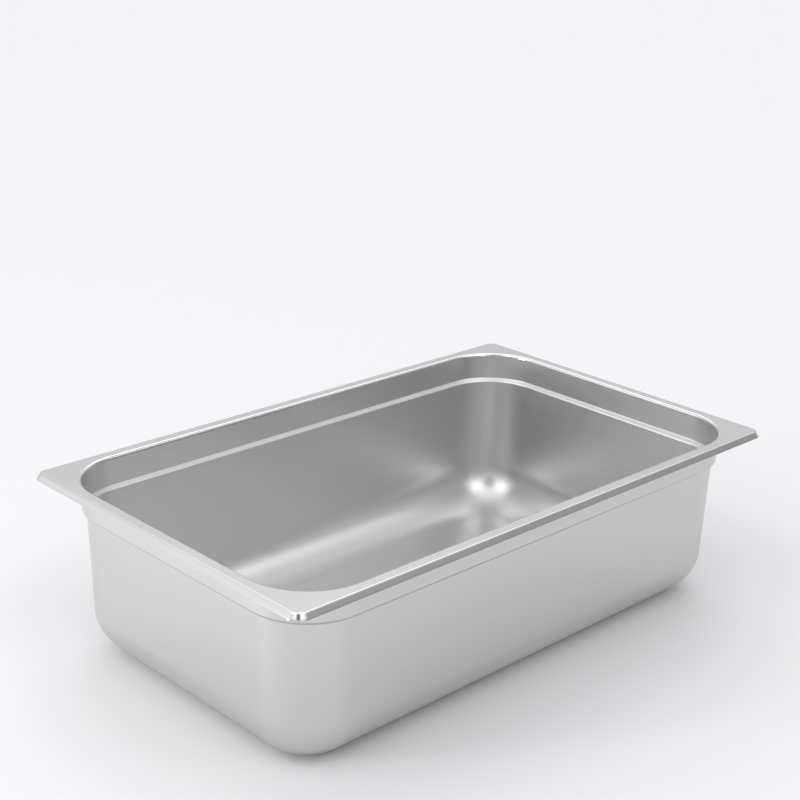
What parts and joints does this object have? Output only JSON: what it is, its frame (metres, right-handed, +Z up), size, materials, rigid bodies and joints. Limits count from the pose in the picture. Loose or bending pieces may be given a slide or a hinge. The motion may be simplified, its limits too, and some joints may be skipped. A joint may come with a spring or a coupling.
{
  "type": "gastronorm food pan",
  "caption": "Full-size rectangular steel food pan, open on top, with a flat hanging rim, a turned-down edge, a stacking shoulder and rounded corners and floor.",
  "frame": {"origin": "centre of the base's underside, on the surface that the pan stands on", "axes": "+X along the pan's length, +Y across its width, +Z up out of its opening"},
  "size_m": [0.53, 0.325, 0.15],
  "materials": {
    "satin_skin": "fine satin stainless steel, lightly brushed",
    "polished_rim": "bright stainless steel, polished along the rim and its turned-down edge"
  },
  "bodies": {
    "root": {"base_panel": "satin_skin", "cove_front": "satin_skin", "cove_back": "satin_skin", "cove_left": "satin_skin", "cove_right": "satin_skin", "cove_front_left": "satin_skin", "cove_front_right": "satin_skin", "cove_back_left": "satin_skin", "cove_back_right": "satin_skin", "wall_front": "satin_skin", "wall_back": "satin_skin", "wall_left": "satin_skin", "wall_right": "satin_skin", "corner_front_left": "satin_skin", "corner_front_right": "satin_skin", "corner_back_left": "satin_skin", "corner_back_right": "satin_skin", "stacking_shoulder": "satin_skin", "collar": "satin_skin", "rim_flange": "polished_rim", "rim_lip": "polished_rim"}
  },
  "joints": []
}
